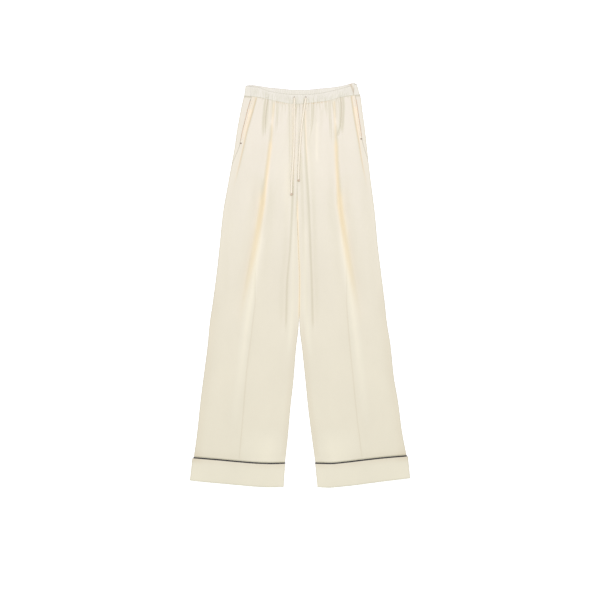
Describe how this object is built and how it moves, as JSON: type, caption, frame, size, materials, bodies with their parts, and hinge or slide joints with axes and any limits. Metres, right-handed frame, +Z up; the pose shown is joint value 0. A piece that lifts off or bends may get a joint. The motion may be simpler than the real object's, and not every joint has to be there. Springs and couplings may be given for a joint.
{
  "type": "wide-legged drawstring trousers laid flat",
  "caption": "Wide-legged pull-on trousers in ivory satin, laid flat front up, with a gathered waistband, a hanging drawstring, side pockets and dark piping above deep cuffs.",
  "frame": {"origin": "on the surface that the trousers lie on, under the middle of their outline without the drawstring", "axes": "+Y towards the waist, +Z up from the surface out of the front, +X towards the wearer's left leg"},
  "size_m": [0.606, 1.1118, 0.0147],
  "materials": {
    "ivory_satin": "soft satin, slightly shiny along its folds",
    "drawstring_satin": "satin tube, a little darker than the panels",
    "black_piping": "matt near-black corded piping"
  },
  "bodies": {
    "root": {"front_right": "ivory_satin", "front_left": "ivory_satin", "back_right": "ivory_satin", "back_left": "ivory_satin", "waistband_front": "ivory_satin", "waistband_back": "ivory_satin", "pocket_facing_right": "ivory_satin", "pocket_facing_left": "ivory_satin", "cuff_front_right": "ivory_satin", "cuff_back_right": "ivory_satin", "cuff_front_left": "ivory_satin", "cuff_back_left": "ivory_satin", "piping_right": "black_piping", "piping_left": "black_piping", "drawstring_right": "drawstring_satin", "drawstring_left": "drawstring_satin", "drawstring_knot_right": "drawstring_satin", "drawstring_knot_left": "drawstring_satin"}
  },
  "joints": []
}
